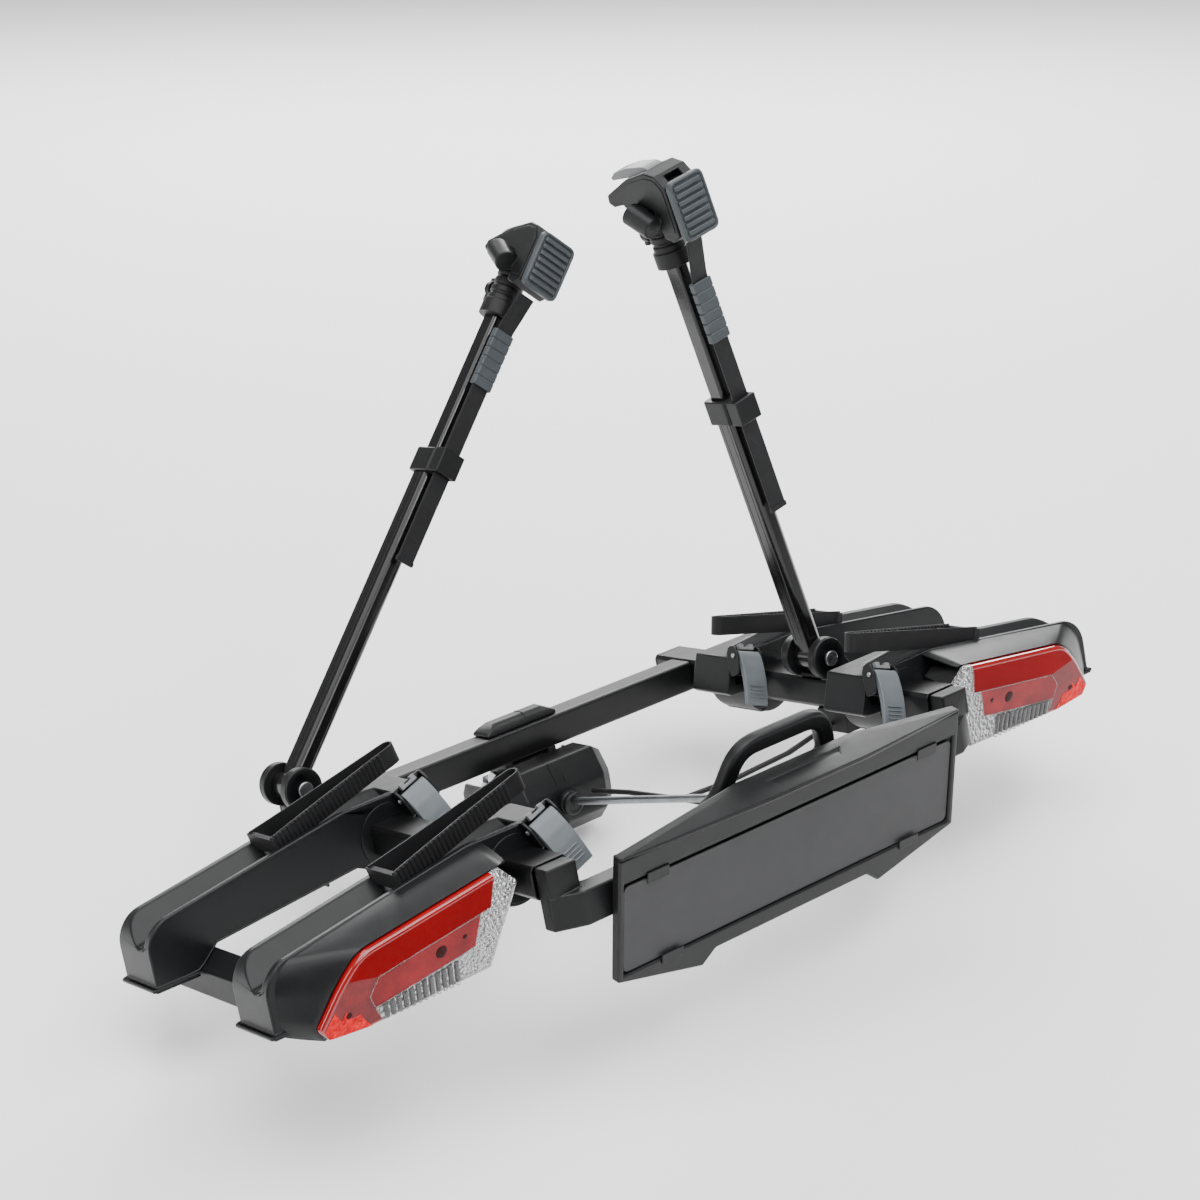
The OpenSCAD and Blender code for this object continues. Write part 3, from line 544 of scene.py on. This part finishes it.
def lamp(s):
    outline = rounded(LAMP_POINTS, LAMP_ROUND)
    n = len(outline)

    def nearest(q):
        return min(range(n), key=lambda i: (Vector(outline[i]) - Vector(q)).length)

    a, b, c = nearest((380, 91.08)), nearest((532, -30.38)), nearest((428, -27.3))
    e = nearest((578, 39))
    part = Part(LAMP[s])
    bm, m = part.bm, part.matrix
    rings = []
    for d, y in ((0, 73), (0, 67.6), (0.5, 66), (1.5, 64.8), (3, 64.1), (4.2, 64)):
        rings.append([bm.verts.new(m @ Vector((x, y, z))) for x, z in (inset(outline, d) if d else outline)])
    for r0, r1 in zip(rings, rings[1:]):
        for i in range(n):
            k = (i + 1) % n
            face = bm.faces.new((r0[i], r0[k], r1[k], r1[i]))
            face.material_index = 4 if a <= i < b else 1
    bm.faces.new(rings[0]).material_index = 3
    inner = {k: bm.verts.new(m @ Vector((x, 64, z))) for k, (x, z) in {
        "q1": (540, -9), "q2": (547, 8), "q3": (534, 28), "q4": (398, 50), "q5": (406, 12), "q6": (426, 8),
        "q7": (384, 52.5)}.items()}
    front = rings[-1]
    run = lambda i, j: [front[k % n] for k in range(i, j + 1 if j > i else j + n + 1)]
    zones = [
        (run(a, e) + [inner[k] for k in ("q3", "q4", "q7")], 0),
        (run(e, b) + [inner[k] for k in ("q1", "q2", "q3")], 5),
        ([inner[k] for k in ("q1", "q6", "q5", "q4", "q3", "q2")], 2),
        (run(b, c) + [inner["q6"], inner["q1"]], 1),
        (run(c, a) + [inner[k] for k in ("q7", "q4", "q5", "q6")], 1),
    ]
    for loop, mat in zones:
        bm.faces.new(loop).material_index = mat
    part.done(f"lens_{NAME[s]}", f"wing_{NAME[s]}",
              ["lamp_red", "lamp_clear", "lamp_window", "lamp_mirror", "lamp_edge", "lamp_end"],
              [f"lamp_red_{NAME[s]}"], 0, sharp=50)
    # prism ribs, seams and bulbs
    trim = Part(LAMP[s])
    for k in range(12):
        x = 431 + k * 8.6
        top = 5 - (x - 426) * 0.128
        trim.sweep([(x, 64, -26), (x + 2.5, 64, top)], arc(0, 0, 3.1, 0, 180, 7), up=Vector((0, -1, 0)))
    seams = [[(540, -9), (547, 8), (534, 28), (398, 50), (384, 52.5), (380, 86)],
             [(398, 50), (406, 12), (426, 8), (540, -9)],
             [(532, -26), (540, -9)], [(426, 8), (428, -23)]]
    for seam in seams:
        for p, q in zip(seam, seam[1:]):
            trim.sweep([(p[0], 63.9, p[1]), (q[0], 63.9, q[1])], circle(0.75, 8), up=Vector((0, -1, 0)))
    rim = inset(outline, 5.2)
    rim = [rim[k % n] for k in range(c, a + n if a < c else a)]
    trim.sweep([(x, 63.8, z) for x, z in rim], circle(1.5, 8), up=Vector((0, -1, 0)))
    trim.done(f"lens_ribs_{NAME[s]}", f"wing_{NAME[s]}", ["lamp_clear"],
              [f"lamp_clear_{NAME[s]}"], 0)
    bulbs = Part(LAMP[s])
    for x, z, r in ((452, 24, 7.5), (420, 30, 3), (574, -4, 4)):
        bulbs.lathe([(0, 0), (r, 0), (r * 0.96, 0.25), (r * 0.6, 0.5), (0, 0.6)],
                    local=local(x, 64, z) @ turn(90, "X"), steps=28)
    glow = [(545, -28.6), (600, -23), (606, -12), (592, 6), (584, -6), (577, 2), (570, -9), (560, -8), (553, -20)]
    bulbs.prism(glow, 63.75, 64.1, "XZ", mat=1)
    bulbs.done(f"bulbs_{NAME[s]}", f"wing_{NAME[s]}", ["lamp_bulb", "lamp_glow"])


for s in (1, -1):
    lamp(s)

# ---------- clamp heads and frame straps -----------------

for s in (1, -1):
    n = NAME[s]
    reach = REACH[s]
    top = ARM[s] @ shift(0, 0, reach)
    pad = Part(top)
    pad.prism(rounded([(-28, 27), (28, 27), (28, 103), (-28, 103)], 9), -71, -64.2, "XZ")
    border = rounded([(-25.5, 29.5), (25.5, 29.5), (25.5, 100.5), (-25.5, 100.5)], 8)
    pad.sweep([(x, -71, z) for x, z in border], circle(2.4, 8), closed=True, up=Vector((0, 1, 0)))
    for k in range(7):
        z = 37.5 + k * 9.2
        bar = [(-22.5, -70.5), (-22, -73), (-18, -74.6), (18, -74.6), (22, -73), (22.5, -70.5)]
        pad.prism(bar, z - 2.7, z + 2.7, "XY")
    pad.done(f"pad_{n}", f"head_{n}", ["pad_slate"], [f"head_pad_{n}"], 1.0, 3)
    lever = Part(top @ shift(0, -20, 114))
    lever.lathe([(0, -13), (4.5, -13), (4.5, 13), (0, 13)], local=turn(90, "Y"), steps=28)
    blade = rounded([(-4, -1.4), (-5, 4), (4, 8.5), (34, 12.5), (58, 12), (68, 6.5), (66, 3), (40, 1), (10, -1.4)], 4)
    lever.prism(blade, -13, 13, "YZ", local=turn(-8, "X"))
    for y in (44, 48.5, 53):
        lever.box((-9.5, y, 11.4), (9.5, y + 1.5, 12.9 - (y - 44) * 0.03), local=turn(-8, "X"))
    lever.done(f"clamp_lever_{n}", f"lever_{n}", ["lever_grey"], [f"head_lever_{n}"], 0.7)
    lock = Part(top @ shift(-37, -30, 52) @ turn(-57, "X"))
    lock.lathe([(0, 14.2), (8.7, 14.2), (8.7, 38.6), (8.9, 39.4), (8.9, 40.6), (8.3, 41.2), (6.6, 41.2),
                (6.3, 40.8), (0, 40.8)])
    lock.box((-1, -3.6, 40.5), (1, 3.6, 41.1), mat=1)
    lock.lathe([(2.2, 40.7), (2.9, 40.7), (2.9, 41.15), (2.2, 41.15)], steps=24)
    lock.done(f"lock_barrel_{n}", f"lock_{n}", ["lock_chrome", "moulded_black"],
              [f"head_lock_{n}"], 0.15)
    trim = Part(top)
    for x in (-26, 26):
        out = 0.9 if x > 0 else -0.9
        cheek = rounded([(-54, 40), (-55, 94), (-46, 107), (-30, 112), (4, 107), (44, 92), (45, 86), (22, 85), (-20, 78),
                         (-36, 68), (-36, 42)], 5)
        trim.prism(cheek, min(x, x + out), max(x, x + out), "YZ")
    for z in (22.6, 26.4):
        trim.sweep([(x, y, z + 60) for x, y in circle(13.6, 32)], circle(1.1, 8), closed=True)
    trim.done(f"head_panels_{n}", f"head_{n}", ["moulded_black"], (), 0.5)
    # the band that runs up the arm, with its sleeve
    keeper = reach - (204 if s < 0 else 189)
    band = Part(ARM[s])
    wide = oblong(3, 25, 1.2)
    path = [(0, -34, keeper - 150), (0, -34, reach - 44), (0, -34.4, reach - 34), (0, -36.6, reach - 22),
            (0, -49.5, reach + 22)]
    band.sweep(path, wide, up=Vector((1, 0, 0)))
    band.box((-13, -36.4, keeper - 152), (13, -31.6, keeper - 146))
    band.done(f"band_{n}", f"arm_upper_{n}", ["strap_webbing"], [f"frame_strap_{n}"], 0.3)
    sleeve = Part(ARM[s])
    for k in range(6):
        z = reach - 109 + k * 13.2
        sleeve.rings([[(a, b - 34, h) for a, b in oblong(30 - t, 10 - t, 2.4)]
                      for t, h in ((1.6, z), (0, z + 0.9), (0, z + 11.6), (1.6, z + 12.5))])
    sleeve.box((-13.5, -38, reach - 109), (13.5, -30, reach - 32))
    sleeve.done(f"sleeve_{n}", f"arm_upper_{n}", ["pad_slate"], (), 0.3)
    # creases down the arm tube
    crease = Part(ARM[s])
    tube_top = keeper - 4
    for x in (-12.6, 12.6):
        for y in (-5.5, 5.5):
            crease.box((x - 0.3, y - 0.6, 30), (x + 0.3, y + 0.6, tube_top - 20))
    crease.done(f"arm_creases_{n}", f"arm_{n}", ["arm_gloss"], (), 0.2, 1)

# ---------- trays ----------


def even(points, count):
    """count points at even steps along a polyline."""
    points = [Vector(p) for p in points]
    lengths = [(b - a).length for a, b in zip(points, points[1:])]
    total = sum(lengths)
    out = []
    for k in range(count):
        want = total * k / (count - 1)
        for a, b, length in zip(points, points[1:], lengths):
            if want <= length or b is points[-1]:
                out.append(a.lerp(b, min(want / max(length, 1e-9), 1)))
                break
            want -= length
    return out


TIP_R = 38
TIP_U = 336 - TIP_R
TIP_Z = 47 - (TIP_U - 60) * SLOPE - TIP_R


def shell(s):
    """The wide top of the rear tray, from the wheel channel to the edge of the lamp."""
    tray = TRAY_Y["rear"]
    to_wing = WING[s].inverted() @ LAMP[s]
    flat = [(40, 47), (60, 47), (TIP_U + 4, TIP_Z + TIP_R - 0.4)]
    turn_down = [(TIP_U + TIP_R * math.cos(math.radians(a)), TIP_Z + TIP_R * math.sin(math.radians(a)))
                 for a in range(82, -1, -6)]
    down = [(336, TIP_Z), (336, -67)]
    near = rounded([(300, 150), (369, 95), (557, 65), (585, 35.5), (613, -11), (600, -29)], [0, 0, 15, 15, 6, 0], 6)
    near = [p for p in near if 340 < p[0]]
    near = [(356, 95.5)] + near
    corner = min(range(len(near)), key=lambda i: abs(near[i][0] - 548))
    last = min(range(len(near)), key=lambda i: (Vector(near[i]) - Vector((592, 24))).length)
    pieces = [(flat, near[:corner + 1], 16), (turn_down, near[corner:last + 1], 14), (down, near[last:], 9)]
    part = Part(WING[s])
    bm, m = part.bm, part.matrix
    rows = []
    for a_line, b_line, count in pieces:
        for i, (a, b) in enumerate(zip(even(a_line, count), even(b_line, count))):
            if i == 0 and rows:
                continue
            a = Vector((a.x, tray + 7.4, a.y + 0.25))
            b = to_wing @ (Vector((b.x, 72.6, b.y)) * 0.001) * 1000
            rows.append([a, b])
    centre = Vector((150, tray - 20, -60))
    steps = 9
    grid = []
    for a, b in rows:
        line = []
        for k in range(steps + 1):
            t = k / steps
            p = a.lerp(b, t)
            out = (p - centre)
            out.y = 0
            line.append(p + out.normalized() * 1.6 * math.sin(math.pi * t))
        line.append(line[-1] + Vector((0, 0.6, 0)) - (b - centre).normalized() * 3.2)
        grid.append([bm.verts.new(m @ p) for p in line])
    for r0, r1 in zip(grid, grid[1:]):
        for k in range(len(r0) - 1):
            bm.faces.new((r0[k], r0[k + 1], r1[k + 1], r1[k]))
    o = part.done(f"lamp_shell_{NAME[s]}", f"wing_{NAME[s]}", ["tray_plastic"], (), 0, sharp=50)
    solid = o.modifiers.new("thickness", "SOLIDIFY")
    solid.thickness = 0.0022
    solid.offset = -1
    solid.thickness_clamp = 0.6
    # the rear tray's own body is the same moulding as the front one
    to_rear = DECK @ shift(0, TRAY_Y["rear"] - TRAY_Y["front"], 0) @ DECK.inverted()
    mesh = clean_copy(f"tray_front_{NAME[s]}", to_rear)
    finish_mesh(mesh, f"tray_rear_{NAME[s]}_fine", f"wing_{NAME[s]}", ["tray_plastic"],
                [f"tray_rear_{NAME[s]}"], 2.2, 3, 32)


for s in (1, -1):
    shell(s)

for s in (1, -1):
    n = NAME[s]
    trim = Part(WING[s])
    for pos, y in TRAY_Y.items():
        hem = [(-20, -40), (30, -34), (52, -24), (251, -42), (272, -60), (280, -65), (336, -70)]
        for side in (0, 72):
            if pos == "rear" and side == 0:
                continue
            trim.sweep([(u, y + side, z + 1.2) for u, z in hem], circle(1.5, 8))
        # foot flange at the tip, and the ring around the fold axis
        trim.box((281, y - 2.6, -70.8), (338, y + 74.6, -66.4))
        for face, out in ((y - 1.6, 1), (y + 72.2, 1)):
            trim.lathe([(33.4, 0), (38.5, 0), (40, 0.5), (40, 1.2), (38.6, 1.6), (33.4, 1.6)],
                       local=local(0, face + 1.6, 0) @ turn(90, "X"), steps=56)
    trim.done(f"tray_trim_{n}", f"wing_{n}", ["tray_plastic"], (), 0.5)

# ---------- release handle, arm bracket ridges, coupling details ----------


def smooth_path(points, cut, steps=7):
    points = [Vector(p) for p in points]
    out = [points[0]]
    for a, p, b in zip(points, points[1:], points[2:]):
        u, v = a - p, b - p
        d = min(cut, u.length * 0.45, v.length * 0.45)
        u, v = p + u.normalized() * d, p + v.normalized() * d
        for k in range(steps + 1):
            t = k / steps
            out.append(u * (1 - t) ** 2 + p * 2 * t * (1 - t) + v * t * t)
    return out + [points[-1]]


handle = Part(DECK)
half = [(64, -23, 152), (85, -1, 98), (78, 40, 78), (12, 57, 61)]
loop = [(-x, y, z) for x, y, z in reversed(half)] + half
handle.sweep(smooth_path(loop, 26, 9), rounded([(-11.5, -8), (11.5, -8), (11.5, 8), (-11.5, 8)], 5.5, 5),
             up=Vector((0, 1, 0.4)))
for side in (-8.4, 8.4):
    handle.sweep([(x, -23 + side * 0.35, 152 + 7.3) for x in range(-44, 45, 8)], circle(0.8, 8))
handle.prism(rounded([(48, 51), (64, 51), (64, 71), (48, 71)], 3), -14, 14, "YZ")
handle.done("handle", "release", ["moulded_black"], ["release_handle"], 0.8)

# faceted cover over the coupling: sections along x, open underneath, with a hole for the rod
cover = Part(DECK)
side = [(470, 57), (431, 57), (415, 24), (414.4, 14), (415.5, -8), (418, -24), (436, -42), (536, -42), (548, -24),
        (548, 36), (536, 57)]


def cover_ring(x, d):
    return [(x, 480 + (y - 480) * (1 - d / 66), 8 + (z - 8) * (1 - d / 50)) for y, z in side]


stations = [(-82, 17), (-80, 12), (-62, 0), (-10, 0), (10, 0), (62, 0), (80, 12), (82, 17)]
sections = [[cover.bm.verts.new(cover.matrix @ Vector(p)) for p in cover_ring(x, d)] for x, d in stations]
for k, (r0, r1) in enumerate(zip(sections, sections[1:])):
    for i in range(6):
        if not (k == 3 and i == 3):
            cover.bm.faces.new((r0[i], r0[i + 1], r1[i + 1], r1[i]))
cover.bm.faces.new(sections[0])
cover.bm.faces.new(sections[-1][::-1])
o = cover.done("cover_shell", "deck", ["moulded_black"], ["coupling_cover"], 1.6, 3, sharp=24)
solid = o.modifiers.new("thickness", "SOLIDIFY")
solid.thickness = 0.003
solid.offset = -1
collar = Part(DECK)
at_rod = local(0, 414, 3.6) @ turn(90 + 9, "X")
collar.lathe([(9, -3), (15.6, -3), (15.6, 3), (14.6, 4.4), (14.6, 7), (15.4, 8), (15.4, 11), (14.2, 12.6), (11, 13),
              (10.2, 11.8), (9, 11.6)], local=at_rod, steps=48)
parting = [(430, 57.4), (414.6, 24), (414, 6), (417.4, -24), (435.6, -42)]
collar.sweep([(-12, y, z) for y, z in parting], circle(0.7, 8), mat=1)
collar.sweep([(3, 420.6, 38), (3, 416.8, 30)], circle(1.1, 8), mat=1)
for path in ([(8, 485, 99), (8, 488, 107), (8, 495, 113.2), (8, 511, 113.2)],
             [(-40, 486.2, 102), (8, 486.2, 102), (40, 486.2, 102)]):
    collar.sweep(path, circle(0.6, 8), mat=1)
collar.done("cover_collar", "deck", ["moulded_black", "cable_black"], (), 0.3, 1)

ridges = Part(DECK)
for at in ((-338, 512, 127), (294, 236, 127)):
    for side in (-1, 1):
        face = local(at[0], at[1] + side * 31, at[2]) @ turn(90 * -side, "X")
        for r in (25, 20.5, 16):
            ridges.lathe([(r - 1.3, 0), (r + 1.3, 0), (r + 0.7, 1.4), (r - 0.7, 1.4)], local=face, steps=48)
ridges.done("bracket_ridges", "deck", ["moulded_black"], (), 0.2, 1)
